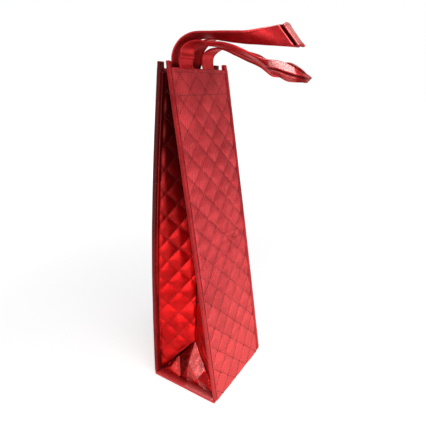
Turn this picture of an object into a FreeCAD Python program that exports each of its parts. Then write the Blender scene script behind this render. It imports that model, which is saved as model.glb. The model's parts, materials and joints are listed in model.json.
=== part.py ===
import FreeCAD, Part
import math
import os
import Sketcher

# A tall, narrow quilted gift bag for one bottle, standing on its base with the mouth nearly closed.
# +X is across the front, -Y is the front, +Z is up; the origin is the middle of the base's underside.
# The front, the base and the back are one padded strip, cut here along its two folds so that the
# walls can turn; a gusset is sewn in on each side, and a strap handle is sewn into each hem.

SIZES = (
    ("bag_width", 100, "across the front, over the side bindings"),
    ("bag_depth", 92, "front to back at the base, outside"),
    ("wall_length", 360, "a wall from its fold to its hem, along the slope"),
    ("mouth_gap", 16, "front to back at the hem, outside"),
    ("skin_thick", 0.5, "foil cloth"),
    ("wadding_thick", 1.4, "padding"),
    ("lining_thick", 0.5, "inner cloth"),
    ("binding_thick", 0.5, "tape folded over a seam"),
    ("seam_edge_thick", 1.2, "a gusset's edge, pressed flat inside the tape"),
    ("flange_width", 7, "seam margin that stands out past a gusset"),
    ("tape_overlap", 1, "tape that lies on the skin past the seam line"),
    ("ear_height", 6, "tape ends above the hem"),
    ("hem_height", 30, "turned hem at the mouth"),
    ("tail_depth", 27, "strap sewn into the hem"),
    ("strap_width", 20, "handle strap"),
    ("strap_thick", 1.4, "handle strap"),
    ("strap_pitch", 37, "one handle's legs, centre to centre"),
    ("strap_shift", -4, "middle of a handle from the middle of the bag"),
    ("front_rise", 3.5, "front strap, straight above the hem"),
    ("back_rise", 6, "back strap, straight above the hem"),
    ("front_bend", 18, "bend radius of the front strap"),
    ("back_bend", 28, "bend radius of the back strap"),
    ("handle_reach", 110, "how far a loop comes forward of its hinge line"),
    ("apex_spread", 6, "half the gap between a loop's sides near its end"),
    ("gusset_drop", 4, "gusset top below the hem"),
    ("crease_start", 45, "height where a gusset's two diagonals meet"),
    ("crease_limit", 35, "deepest inward fold of a gusset"),
    ("board_thick", 1.2, "stiffener in the base"),
    ("clearance", 0.3, "running gap between pieces that move apart"),
)
# Where the sections of a loop lie, from the end of its bend (0) to its apex (1): the share of the
# way forward, the height over the bend's end as a share of the reach, and the roll in degrees,
# which stands the strap on edge with its outer edge up.
LOOP_SECTIONS = {
    "front": ((0.22, -0.04, 8), (0.46, -0.11, 20), (0.66, -0.20, 34), (0.84, -0.28, 62)),
    "back": ((0.25, -0.01, 14), (0.54, -0.05, 32), (0.76, -0.05, 60), (0.90, -0.04, 82)),
}
APEX_RISE = {"front": -0.34, "back": -0.04}
GUSSET_STEPS = 6  # sections of a gusset above the start of its crease

doc = FreeCAD.newDocument("gift_bag")
sheet = doc.addObject("Spreadsheet::Sheet", "sizes")
for row, (alias, value, note) in enumerate(SIZES, start=1):
    sheet.set("A%d" % row, alias)
    sheet.set("B%d" % row, str(value))
    sheet.setAlias("B%d" % row, alias)
    sheet.set("C%d" % row, note)
doc.recompute()

# Formulas that several pieces share, in the sheet's aliases.
HALF_WIDTH = "sizes.bag_width / 2"
SEAM_X = "(sizes.bag_width / 2 - sizes.flange_width)"
SKIN_X = "(sizes.bag_width / 2 - sizes.flange_width - sizes.tape_overlap)"
INNER_X = "(sizes.bag_width / 2 - sizes.binding_thick)"
LEAN = "asin((sizes.bag_depth - sizes.mouth_gap) / (2 * sizes.wall_length))"
WALL = "(sizes.skin_thick + sizes.wadding_thick + sizes.lining_thick)"
STACK = "(%s + sizes.seam_edge_thick + sizes.binding_thick)" % WALL
FOLD_Z = "(%s + sizes.clearance / 2)" % WALL
WALL_START = "((sizes.clearance / 2 + %s * sin(%s)) / cos(%s))" % (STACK, LEAN, LEAN)
WADDING_IN = "sizes.skin_thick"
WADDING_OUT = "(sizes.skin_thick + sizes.wadding_thick)"
HEM_START = "(sizes.wall_length - sizes.hem_height)"
STRAP_MID = "(sizes.skin_thick + sizes.wadding_thick / 2)"
WALL_SIGN = {"front": -1, "back": 1}

made = []  # the finished sub-parts, in order


def value(formula):
    """The number that a formula in the sheet's aliases comes to."""
    result = sheet.evalExpression(formula)
    return float(getattr(result, "Value", result))


def bind(thing, formulas):
    """Tie properties of an object to formulas."""
    for path, formula in formulas.items():
        thing.setExpression(path, formula)


def keep(thing, label):
    thing.Label = label
    made.append(thing)
    return thing


def lean_placement(thing, wall, x="0", across="0", along="0"):
    """Place a thing in a leaning wall: x across, distance through the wall, distance up the slope."""
    sign = WALL_SIGN[wall]
    thing.Placement = FreeCAD.Placement(
        FreeCAD.Vector(0, 0, 0), FreeCAD.Rotation(FreeCAD.Vector(1, 0, 0), sign))
    bind(thing, {
        "Placement.Rotation.Angle": "%d * %s" % (sign, LEAN),
        "Placement.Base.x": x,
        "Placement.Base.y": "%d * sizes.bag_depth / 2 + (%s) * cos(%s) - %d * (%s) * sin(%s)"
                            % (sign, across, LEAN, sign, along, LEAN),
        "Placement.Base.z": "%s + %d * (%s) * sin(%s) + (%s) * cos(%s)"
                            % (FOLD_Z, sign, across, LEAN, along, LEAN),
    })


def plate(label, length, width, height):
    box = doc.addObject("Part::Box", label)
    bind(box, {"Length": length, "Width": width, "Height": height})
    return keep(box, label)


def wall_layer(label, wall, half_x, near, far, bottom, top):
    """One flat layer of a wall, from near to far behind the outer face."""
    box = plate(label, "2 * " + half_x, "%s - %s" % (far, near), "%s - %s" % (top, bottom))
    across = near if wall == "front" else "-(%s)" % far
    lean_placement(box, wall, "-(%s)" % half_x, across, bottom)


def base_layer(label, half_x, half_y, bottom, top):
    """One flat layer of the base."""
    box = plate(label, "2 * " + half_x, "2 * " + half_y, "%s - %s" % (top, bottom))
    bind(box, {"Placement.Base.x": "-(%s)" % half_x, "Placement.Base.y": "-(%s)" % half_y,
               "Placement.Base.z": bottom})


def new_body(label):
    return keep(doc.addObject("PartDesign::Body", label), label)


def origin_plane(body, role):
    return next(item for item in body.Origin.OriginFeatures if item.Role == role)


def new_sketch(body, name, role, offset="0"):
    sketch = body.newObject("Sketcher::SketchObject", name)
    sketch.AttachmentSupport = [(origin_plane(body, role), "")]
    sketch.MapMode = "FlatFace"
    sketch.setExpression("AttachmentOffset.Base.z", offset)
    return sketch


def outline(sketch, corners):
    """A closed outline whose corners are pairs of formulas."""
    points = [FreeCAD.Vector(value(x), value(y), 0) for x, y in corners]
    first = sketch.GeometryCount
    count = len(points)
    for index, point in enumerate(points):
        sketch.addGeometry(Part.LineSegment(point, points[(index + 1) % count]), False)
    for index in range(count):
        following = first + (index + 1) % count
        sketch.addConstraint(Sketcher.Constraint("Coincident", first + index, 2, following, 1))
    for index, (formulas, point) in enumerate(zip(corners, points)):
        for kind, formula, number in (("DistanceX", formulas[0], point.x),
                                      ("DistanceY", formulas[1], point.y)):
            constraint = Sketcher.Constraint(kind, -1, 1, first + index, 1, number)
            place = sketch.addConstraint(constraint)
            sketch.setExpression("Constraints[%d]" % place, formula)


def pad(body, name, sketch, length, backwards=False, both_ways=False):
    feature = body.newObject("PartDesign::Pad", name)
    feature.Profile = sketch
    feature.Reversed = backwards
    if both_ways:
        feature.Midplane = True
    feature.setExpression("Length", length)
    sketch.Visibility = False
    return feature


def tape_section(side, through):
    """The folded tape's section: x across, then distance through the seam, skin side first."""
    edge = "%d * %s" % (side, HALF_WIDTH)
    inside = "%d * %s" % (side, INNER_X)
    skin_end = "%d * %s" % (side, SKIN_X)
    seam_end = "%d * (%s + sizes.clearance)" % (side, SEAM_X)
    return ((edge, through % "0"), (skin_end, through % "0"),
            (skin_end, through % "sizes.skin_thick"), (inside, through % "sizes.skin_thick"),
            (inside, through % WALL), (seam_end, through % WALL),
            (seam_end, through % STACK), (edge, through % STACK))


def wall_binding(label, wall, side):
    """Tape over one upright seam of a wall; its end stands above the hem."""
    body = new_body(label)
    sketch = new_sketch(body, label + "_section", "XY_Plane", WALL_START)
    outline(sketch, tape_section(side, "%d * (%%s)" % -WALL_SIGN[wall]))
    pad(body, label + "_tape", sketch,
        "sizes.wall_length + sizes.ear_height - %s" % WALL_START)
    lean_placement(body, wall)


def base_binding(label, side):
    """Tape over one seam of the base, between the walls' tapes."""
    body = new_body(label)
    sketch = new_sketch(body, label + "_section", "XZ_Plane")
    outline(sketch, tape_section(side, "%s"))
    half_run = ("sizes.bag_depth / 2 - %s / cos(%s) - %s * tan(%s) - sizes.clearance"
                % (STACK, LEAN, STACK, LEAN))
    pad(body, label + "_tape", sketch, "2 * (%s)" % half_run, both_ways=True)


def leg_x(side):
    return "(sizes.strap_shift + %d * sizes.strap_pitch / 2)" % side


def hem_facing(label, wall):
    """The cloth turned down inside the hem, with a slot for each strap's tail."""
    body = new_body(label)
    sign = WALL_SIGN[wall]
    sketch = new_sketch(body, label + "_outline", "XZ_Plane", "%d * sizes.skin_thick" % sign)
    top = "sizes.wall_length"
    slot = "(sizes.wall_length - sizes.tail_depth)"
    corners = [("-" + INNER_X, HEM_START), (INNER_X, HEM_START), (INNER_X, top)]
    for side in (1, -1):
        near = "%s + sizes.strap_width / 2" % leg_x(side)
        far = "%s - sizes.strap_width / 2" % leg_x(side)
        corners += [(near, top), (near, slot), (far, slot), (far, top)]
    corners.append(("-" + INNER_X, top))
    outline(sketch, corners)
    pad(body, label + "_cloth", sketch, "sizes.wadding_thick", backwards=wall == "front")
    lean_placement(body, wall)


def bend_half(wall):
    """Half of the turn that a strap makes from its wall to level."""
    return "((90 - %d * %s / 1deg) / 2)" % (WALL_SIGN[wall], LEAN)


def strap_rectangle(width, thick, middle):
    return (("-%s / 2" % width, "%s - %s / 2" % (middle, thick)),
            ("%s / 2" % width, "%s - %s / 2" % (middle, thick)),
            ("%s / 2" % width, "%s + %s / 2" % (middle, thick)),
            ("-%s / 2" % width, "%s + %s / 2" % (middle, thick)))


def handle_leg(label, wall, side):
    """One leg of a handle: its tail in the hem, a short rise and the first half of the bend."""
    body = new_body(label)
    middle = "%d * %s" % (-WALL_SIGN[wall], STRAP_MID)
    rise = "sizes.%s_rise" % wall
    radius = "sizes.%s_bend" % wall
    tail = new_sketch(body, label + "_tail_section", "XY_Plane", "sizes.wall_length")
    outline(tail, strap_rectangle("sizes.strap_width", "sizes.wadding_thick", middle))
    pad(body, label + "_tail", tail, "sizes.tail_depth", backwards=True)
    strap = new_sketch(body, label + "_strap_section", "XY_Plane", "sizes.wall_length")
    outline(strap, strap_rectangle("sizes.strap_width", "sizes.strap_thick", middle))
    pad(body, label + "_rise", strap, rise)
    turn = new_sketch(body, label + "_turn_section", "XY_Plane", "sizes.wall_length + " + rise)
    outline(turn, strap_rectangle("sizes.strap_width", "sizes.strap_thick", middle))
    axis_y = "%s - %s" % (middle, radius)
    start = FreeCAD.Vector(0, value(axis_y), 0)
    line = turn.addGeometry(
        Part.LineSegment(start, start + FreeCAD.Vector(value("sizes.strap_width"), 0, 0)), True)
    turn.addConstraint(Sketcher.Constraint("Horizontal", line))
    turn.addConstraint(Sketcher.Constraint("PointOnObject", line, 1, -2))
    place = turn.addConstraint(Sketcher.Constraint("DistanceX", line, 1, line, 2,
                                                   value("sizes.strap_width")))
    turn.setExpression("Constraints[%d]" % place, "sizes.strap_width")
    place = turn.addConstraint(Sketcher.Constraint("DistanceY", -1, 1, line, 1, start.y))
    turn.setExpression("Constraints[%d]" % place, axis_y)
    doc.recompute()
    bend = body.newObject("PartDesign::Revolution", label + "_bend")
    bend.Profile = turn
    bend.ReferenceAxis = (turn, ["Axis0"])
    gap = "(sizes.strap_thick / 2 + sizes.clearance)"
    bend.setExpression("Angle", "%s - %s / %s * 180 / pi" % (bend_half(wall), gap, radius))
    turn.Visibility = False
    lean_placement(body, wall, leg_x(side))


def hinge_line(wall):
    """The y and z of the line in the middle of a strap's bend, about which its loop swings."""
    sign = WALL_SIGN[wall]
    radius = "sizes.%s_bend" % wall
    half = bend_half(wall)
    across = "(%d * %s - %s * (1 - cos(%s)))" % (-sign, STRAP_MID, radius, half)
    along = "(sizes.wall_length + sizes.%s_rise + %s * sin(%s))" % (wall, radius, half)
    y = ("%d * sizes.bag_depth / 2 + %s * cos(%s) - %d * %s * sin(%s)"
         % (sign, across, LEAN, sign, along, LEAN))
    z = "%s + %d * %s * sin(%s) + %s * cos(%s)" % (FOLD_Z, sign, across, LEAN, along, LEAN)
    return y, z


def strap_frame(tangent, edge):
    """Turn a section so that its x runs from the strap's outer edge and its z runs along it."""
    tangent = FreeCAD.Vector(*tangent).normalize()
    edge = FreeCAD.Vector(*edge)
    edge = (edge - tangent * edge.dot(tangent)).normalize()
    return FreeCAD.Rotation(edge, tangent.cross(edge), tangent, "ZXY")


def handle_loop(label, wall):
    """A handle's loop, from one half-bend to the other; it stands on edge towards its apex."""
    body = new_body(label)
    radius = "sizes.%s_bend" % wall
    half = bend_half(wall)
    level_y = "%s * sin(%s)" % (radius, half)
    level_z = "%s * (1 - cos(%s))" % (radius, half)
    start_angle = math.radians(value(half))
    rows = [("0", "0", "0", 0, (0, -math.cos(start_angle), math.sin(start_angle))),
            ("0", level_y, level_z, 0, (0, -1, 0))]
    lifts = [(0, 0)] + [(share, lift) for share, lift, _ in LOOP_SECTIONS[wall]]
    lifts.append((1, APEX_RISE[wall]))
    for index, (share, lift, roll) in enumerate(LOOP_SECTIONS[wall], start=1):
        forward = "%s + %g * (sizes.handle_reach - %s)" % (level_y, share, level_y)
        slope = (lifts[index + 1][1] - lifts[index - 1][1]) / (lifts[index + 1][0] - lifts[index - 1][0])
        rows.append(("%g" % share ** 2, forward, "%s + %g * sizes.handle_reach" % (level_z, lift),
                     roll, (0.3 * share, -1, slope)))
    apex_z = "%s + %g * sizes.handle_reach" % (level_z, APEX_RISE[wall])

    def place(index, x, y, z, rotation):
        sketch = new_sketch(body, "%s_section_%d" % (label, index), "XY_Plane")
        outline(sketch, strap_rectangle("sizes.strap_width", "sizes.strap_thick", "0"))
        sketch.AttachmentOffset = FreeCAD.Placement(FreeCAD.Vector(0, 0, 0), rotation)
        bind(sketch, {"AttachmentOffset.Base.x": x, "AttachmentOffset.Base.y": y,
                      "AttachmentOffset.Base.z": z})
        return sketch

    sections = []
    for side in (-1, 1):
        ordered = rows if side < 0 else rows[::-1]
        for inward, forward, up, roll, tangent in ordered:
            x = ("%d * (sizes.strap_pitch / 2 - %s * (sizes.strap_pitch / 2 - sizes.apex_spread))"
                 % (side, inward))
            roll = math.radians(roll)
            edge = (-side * math.cos(roll), 0, -math.sin(roll))
            along = tangent if side < 0 else (tangent[0], -tangent[1], -tangent[2])
            sections.append(place(len(sections), x, "-(%s)" % forward, up,
                                  strap_frame(along, edge)))
        if side < 0:
            sections.append(place(len(sections), "0", "-sizes.handle_reach", apex_z,
                                  strap_frame((1, 0, 0), (0, 0, -1))))
    doc.recompute()
    loft = body.newObject("PartDesign::AdditiveLoft", label + "_strap")
    loft.Profile = sections[0]
    loft.Sections = sections[1:]
    loft.Ruled = True
    for sketch in sections:
        sketch.Visibility = False
    for side in (-1, 1):
        end = body.newObject("PartDesign::AdditiveCylinder", "%s_end_%d" % (label, side + 1))
        end.AttachmentSupport = [(origin_plane(body, "YZ_Plane"), "")]
        end.MapMode = "FlatFace"
        bind(end, {"Radius": "sizes.strap_thick / 2", "Height": "sizes.strap_width",
                   "AttachmentOffset.Base.z":
                   "%d * sizes.strap_pitch / 2 - sizes.strap_width / 2" % side})
    hinge_y, hinge_z = hinge_line(wall)
    bind(body, {"Placement.Base.x": "sizes.strap_shift", "Placement.Base.y": hinge_y,
                "Placement.Base.z": hinge_z})


def gusset_rows():
    """Height, half opening and fold depth of a gusset at each of its sections."""
    wall = value(WALL)
    lean = math.radians(value(LEAN))
    fold_z = value(FOLD_Z)
    free = sheet.bag_depth / 2 - wall / math.cos(lean) - sheet.clearance

    def half_opening(height):
        return free - (height - fold_z) * math.tan(lean)

    half_panel = half_opening(wall)
    top = fold_z + sheet.wall_length * math.cos(lean) - sheet.gusset_drop
    rise = (top - sheet.crease_start) / GUSSET_STEPS
    heights = [wall] + [sheet.crease_start + step * rise for step in range(GUSSET_STEPS + 1)]
    rows = []
    for height in heights:
        opening = half_opening(height)
        depth = math.sqrt(max(half_panel ** 2 - opening ** 2, 0))
        depth = min(depth, sheet.crease_limit)
        # the panel's own thickness takes its share of the opening where it lies along the wall
        opening -= wall * depth / math.hypot(depth, opening)
        rows.append((height, opening, depth))
    return rows


def gusset_surface(rows, side, offset):
    """The corners of a gusset's sheet at a distance from its outer face, section by section."""
    seam = value(SEAM_X)
    surface = []
    for height, opening, depth in rows:
        leg = math.hypot(depth, opening)
        edge_x = seam - offset * opening / leg
        edge_y = opening + offset * depth / leg
        nose_x = seam - depth - offset
        nose_y = offset * (leg - opening) / depth if depth > 0 else 0
        surface.append([FreeCAD.Vector(side * x, y, height) for x, y in
                        ((edge_x, -edge_y), (nose_x, -nose_y), (nose_x, nose_y), (edge_x, edge_y))])
    return surface


def triangles(surface):
    """Flat faces of a sheet, with the diagonals running out from the start of the crease."""
    found = []
    for lower, upper in zip(surface, surface[1:]):
        for column in range(3):
            a, b, c, d = lower[column], lower[column + 1], upper[column + 1], upper[column]
            if column == 0:
                found += [(a, b, c), (a, c, d)]
            else:
                found += [(a, b, d), (b, c, d)]
    return found


def rim(first, second):
    """The narrow faces between the borders of two sheets."""
    def border(surface):
        up = [row[0] for row in surface]
        down = [row[3] for row in reversed(surface)]
        return up + surface[-1][1:3] + down + surface[0][2:0:-1]

    ring, other = border(first), border(second)
    found = []
    for index in range(len(ring)):
        after = (index + 1) % len(ring)
        found += [(ring[index], ring[after], other[after]), (ring[index], other[after], other[index])]
    return found


def gusset_layer(label, side, near, far):
    """One layer of a folded gusset, between two distances from its outer face."""
    rows = gusset_rows()
    outer = gusset_surface(rows, side, value(near))
    inner = gusset_surface(rows, side, value(far))
    faces = []
    for corners in triangles(outer) + triangles(inner) + rim(outer, inner):
        sides = [corners[0].distanceToPoint(corners[1]), corners[1].distanceToPoint(corners[2]),
                 corners[2].distanceToPoint(corners[0])]
        if min(sides) > 1e-6:
            faces.append(Part.Face(Part.makePolygon(list(corners) + [corners[0]])))
    shell = Part.makeShell(faces)
    shell.sewShape()
    solid = Part.makeSolid(shell)
    if solid.Volume < 0:
        solid.reverse()
    feature = doc.addObject("Part::Feature", label)
    feature.Shape = solid.removeSplitter()
    feature.Placement = FreeCAD.Placement()
    keep(feature, label)


def make_base():
    half_y = "sizes.bag_depth / 2"
    base_layer("base_skin", SKIN_X, half_y, "0", "sizes.skin_thick")
    base_layer("base_wadding", INNER_X, half_y, WADDING_IN, WADDING_OUT)
    base_layer("base_lining", INNER_X, half_y, WADDING_OUT, WALL)
    board_top = "(%s + sizes.board_thick)" % WALL
    lean_in = "(%s / sizes.crease_start * sizes.board_thick)" % SEAM_X
    board_x = "(%s - %s - %s - sizes.clearance)" % (SEAM_X, WALL, lean_in)
    board_y = ("(sizes.bag_depth / 2 - %s / cos(%s) - %s * tan(%s) - sizes.clearance)"
               % (WALL, LEAN, board_top, LEAN))
    base_layer("base_board", board_x, board_y, WALL, board_top)
    base_binding("base_left_binding", -1)
    base_binding("base_right_binding", 1)


def make_gusset(name, side):
    gusset_layer(name + "_skin", side, "0", WADDING_IN)
    gusset_layer(name + "_wadding", side, WADDING_IN, WADDING_OUT)
    gusset_layer(name + "_lining", side, WADDING_OUT, WALL)


def make_wall(wall):
    top = "sizes.wall_length"
    wall_layer(wall + "_skin", wall, SKIN_X, "0", "sizes.skin_thick", WALL_START, top)
    wall_layer(wall + "_wadding", wall, INNER_X, WADDING_IN, WADDING_OUT, WALL_START, HEM_START)
    wall_layer(wall + "_lining", wall, INNER_X, WADDING_OUT, WALL, WALL_START, top)
    hem_facing(wall + "_hem_facing", wall)
    for name, side in (("left", -1), ("right", 1)):
        wall_binding("%s_%s_binding" % (wall, name), wall, side)
        handle_leg("%s_handle_%s_leg" % (wall, name), wall, side)
    handle_loop(wall + "_handle_loop", wall)


def check_and_write():
    doc.recompute()
    for item in doc.Objects:
        if "Invalid" in item.State or "Error" in item.State:
            raise RuntimeError("%s did not build: %s" % (item.Label, item.State))
    for item in made:
        if item.Shape.isNull() or not item.Shape.isValid() or item.Shape.Volume <= 0:
            raise RuntimeError("%s has no sound solid" % item.Label)
    os.makedirs("parts", exist_ok=True)
    for item in made:
        item.Shape.exportStep("parts/%s.step" % item.Label)
        print("%-26s solids %d  volume %10.1f" % (item.Label, len(item.Shape.Solids),
                                                   item.Shape.Volume))


make_base()
make_gusset("left_gusset", -1)
make_gusset("right_gusset", 1)
for wall_name in ("front", "back"):
    make_wall(wall_name)
check_and_write()
for wall_name in ("front", "back"):
    print("%s hinge line y %.4f z %.4f" % ((wall_name,) + tuple(value(f) for f in hinge_line(wall_name))))
print("lean %.4f  fold z %.4f" % (value(LEAN), value(FOLD_Z)))
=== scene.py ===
import json
import math
import bmesh
import bpy
import numpy as np
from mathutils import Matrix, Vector, noise


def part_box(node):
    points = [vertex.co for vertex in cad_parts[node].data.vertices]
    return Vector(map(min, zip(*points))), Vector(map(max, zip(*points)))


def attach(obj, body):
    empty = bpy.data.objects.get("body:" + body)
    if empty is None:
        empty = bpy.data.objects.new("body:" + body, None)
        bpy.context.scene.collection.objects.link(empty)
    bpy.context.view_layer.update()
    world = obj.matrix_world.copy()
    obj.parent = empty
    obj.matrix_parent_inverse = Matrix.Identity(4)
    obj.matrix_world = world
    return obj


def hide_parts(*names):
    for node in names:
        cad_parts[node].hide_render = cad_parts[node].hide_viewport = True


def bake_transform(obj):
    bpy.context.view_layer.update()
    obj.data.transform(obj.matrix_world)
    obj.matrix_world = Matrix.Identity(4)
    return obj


# Looks for a quilted foil gift bag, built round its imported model.
# Lengths in this file are millimetres until a mesh is made.
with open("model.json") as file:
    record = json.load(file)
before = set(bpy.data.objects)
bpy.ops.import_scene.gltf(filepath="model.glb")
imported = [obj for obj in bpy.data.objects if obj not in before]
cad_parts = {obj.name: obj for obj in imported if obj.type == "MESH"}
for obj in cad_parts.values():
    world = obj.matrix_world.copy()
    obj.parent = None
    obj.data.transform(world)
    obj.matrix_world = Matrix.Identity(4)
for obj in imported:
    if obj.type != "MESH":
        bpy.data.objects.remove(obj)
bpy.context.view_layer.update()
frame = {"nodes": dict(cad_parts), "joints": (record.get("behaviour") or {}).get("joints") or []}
scene = bpy.context.scene


def boxOf(node):
    return [[c * 1000 for c in corner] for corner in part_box(node)]


def smooth(low, high, x):
    t = min(max((x - low) / (high - low), 0), 1)
    return t * t * (3 - 2 * t)


def ripple(*place):
    return noise.noise(Vector(place))


# the bag's sizes, read from the frame
walls = {"front": -1, "back": 1}
sides = {"left": -1, "right": 1}
joints = {joint["name"]: joint for joint in frame["joints"]}
foldPoint = joints["back_wall_open"]["pos_m"]
skinTop = boxOf("back_skin")
skinThick = boxOf("base_skin")[1][2]
wallThick = boxOf("base_lining")[1][2]
halfWidth = boxOf("back_right_binding")[1][0]
seamX = -boxOf("left_gusset_skin")[0][0]
halfDepth = foldPoint[1] * 1000
foldZ = foldPoint[2] * 1000
leanTop = halfDepth - (skinTop[0][1] + skinThick)
lean = math.atan2(leanTop, skinTop[1][2] - foldZ)
wallLength = math.hypot(leanTop, skinTop[1][2] - foldZ)
leanCos, leanSin, leanTan = math.cos(lean), math.sin(lean), math.tan(lean)
gussetTop = boxOf("left_gusset_skin")[1][2]
tapeDepth = boxOf("base_left_binding")[1][2]
hinge = {wall: [c * 1000 for c in joints[wall + "_handle_swing"]["pos_m"]] for wall in walls}
print("bag: lean %.3f deg, wall %.1f, seam %.2f" % (math.degrees(lean), wallLength, seamX))


def wallPoint(sign, x, d, v):
    # d inwards from the outer face, v up the slope
    reach = halfDepth - d * leanCos - v * leanSin
    return Vector((x, sign * reach, foldZ - d * leanSin + v * leanCos))


strip = {"hemRadius": 1.3, "foldRadius": 3.0, "facing": 28.0}
turn = math.pi / 2 + lean  # from the wall's slope to the base
foldV = strip["foldRadius"] * math.tan(turn / 2) - foldZ / leanCos  # height where the fold starts


def stripPath(p):
    # p runs down from the hem, round the fold and in under the base; returns place and outward normal
    hemR, foldR = strip["hemRadius"], strip["foldRadius"]
    v = wallLength - p

    def onWall(d, up, nd, nv):
        return (halfDepth - d * leanCos - up * leanSin, foldZ - d * leanSin + up * leanCos,
                -nd * leanCos - nv * leanSin, -nd * leanSin + nv * leanCos)

    if p < hemR:
        s = hemR - p
        if s < math.pi * hemR:
            a = s / hemR
            return onWall(hemR - hemR * math.cos(a), wallLength - hemR + hemR * math.sin(a),
                          -math.cos(a), math.sin(a))
        return onWall(2 * hemR, wallLength - hemR - (s - math.pi * hemR), 1, 0)
    if v >= foldV:
        return onWall(0, v, -1, 0)
    s = foldV - v
    startO, startZ, normalO, normalZ = onWall(0, foldV, -1, 0)
    centreO, centreZ = startO - foldR * normalO, startZ - foldR * normalZ
    if s < foldR * turn:
        a = lean - s / foldR
        return (centreO + foldR * math.cos(a), centreZ + foldR * math.sin(a), math.cos(a), math.sin(a))
    return centreO - (s - foldR * turn), centreZ - foldR, 0, -1


def stripEnd():
    # how far down the strip the middle of the base is
    flat = wallLength - foldV + strip["foldRadius"] * turn
    return flat + stripPath(flat + 0.001)[0]


def makePiece(name, points, faces, material=None, edges=()):
    # a new object from points in millimetres
    mesh = bpy.data.meshes.new(name)
    mesh.from_pydata([[c * 0.001 for c in point] for point in points], edges, faces)
    mesh.update()
    piece = bpy.data.objects.new(name, mesh)
    scene.collection.objects.link(piece)
    if material:
        mesh.materials.append(material)
    return piece


def gridFaces(rowCount, count, split=None):
    # faces between rows of count points each; split may cut a face in two
    faces = []
    for row in range(rowCount - 1):
        for column in range(count - 1):
            a = row * count + column
            corners = (a, a + 1, a + count + 1, a + count)
            faces += split(row, column, corners) if split else [corners]
    return faces


def weld(piece, gap=0.02, clean=False, closed=False):
    # merge points that are closer than gap; a closed shape's faces are turned outwards
    work = bmesh.new()
    work.from_mesh(piece.data)
    bmesh.ops.remove_doubles(work, verts=work.verts, dist=gap * 0.001)
    if clean:
        bmesh.ops.dissolve_degenerate(work, edges=work.edges, dist=1e-6)
    if closed:
        bmesh.ops.recalc_face_normals(work, faces=work.faces)
    work.to_mesh(piece.data)
    work.free()


def shadeSmooth(piece):
    piece.data.polygons.foreach_set("use_smooth", [True] * len(piece.data.polygons))


def thicken(piece, thick, offset=-1.0):
    solid = piece.modifiers.new("thick", "SOLIDIFY")
    solid.thickness = thick * 0.001
    solid.offset = offset
    settle(piece)


def settle(piece):
    # turn what the modifiers give into the piece's own mesh
    graph = bpy.context.evaluated_depsgraph_get()
    graph.update()
    final = bpy.data.meshes.new_from_object(piece.evaluated_get(graph))
    piece.modifiers.clear()
    old = piece.data
    final.name = old.name + "Final"
    piece.data = final
    bpy.data.meshes.remove(old)
    shadeSmooth(piece)


def outwards(points, faces, middle):
    # flip a sheet's faces if most of them look towards middle
    total = 0
    for face in faces[:: max(1, len(faces) // 200)]:
        a, b, c = (Vector(points[i]) for i in face[:3])
        total += (b - a).cross(c - a).dot((a + b + c) / 3 - Vector(middle))
    return faces if total > 0 else [tuple(reversed(face)) for face in faces]


def tube(name, rings, material):
    # skin a row of equal rings, with flat caps
    count = len(rings[0])
    points = [point for ring in rings for point in ring]
    faces = []
    rows = len(rings)
    for row in range(rows - 1):
        a, b = row * count, (row + 1) * count
        for k in range(count):
            n = (k + 1) % count
            faces.append((a + k, a + n, b + n, b + k))
    for base in (0, (rows - 1) * count):
        centre = sum((Vector(points[base + k]) for k in range(count)), Vector()) / count
        points.append(tuple(centre))
        hub = len(points) - 1
        for k in range(count):
            pair = (base + k, base + (k + 1) % count)
            faces.append((pair[0], hub, pair[1]) if base == 0 else (pair[1], hub, pair[0]))
    piece = makePiece(name, points, faces, material)
    weld(piece, 0.001, clean=True, closed=True)
    shadeSmooth(piece)
    return piece


def paintGlintAndShade(piece, values, domain="POINT"):
    # painted light on a foil: a painted glint above zero, and painted shade where it lies in a fold, below
    # zero
    piece.data.attributes.new("paintedLight", "FLOAT", domain).data.foreach_set("value", values)


class Wire:
    # a socket that can be used in a sum
    def __init__(self, finish, socket):
        self.finish = finish
        self.socket = socket

    def sums(self, operation, other, swapped=False):
        pair = (other, self) if swapped else (self, other)
        return self.finish.add("ShaderNodeMath", {"operation": operation}, {0: pair[0], 1: pair[1]})

    def __add__(self, other):
        return self.sums("ADD", other)

    def __radd__(self, other):
        return self.sums("ADD", other, True)

    def __sub__(self, other):
        return self.sums("SUBTRACT", other)

    def __rsub__(self, other):
        return self.sums("SUBTRACT", other, True)

    def __mul__(self, other):
        return self.sums("MULTIPLY", other)

    def __rmul__(self, other):
        return self.sums("MULTIPLY", other, True)

    def __pow__(self, other):
        return self.sums("POWER", other)


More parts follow.
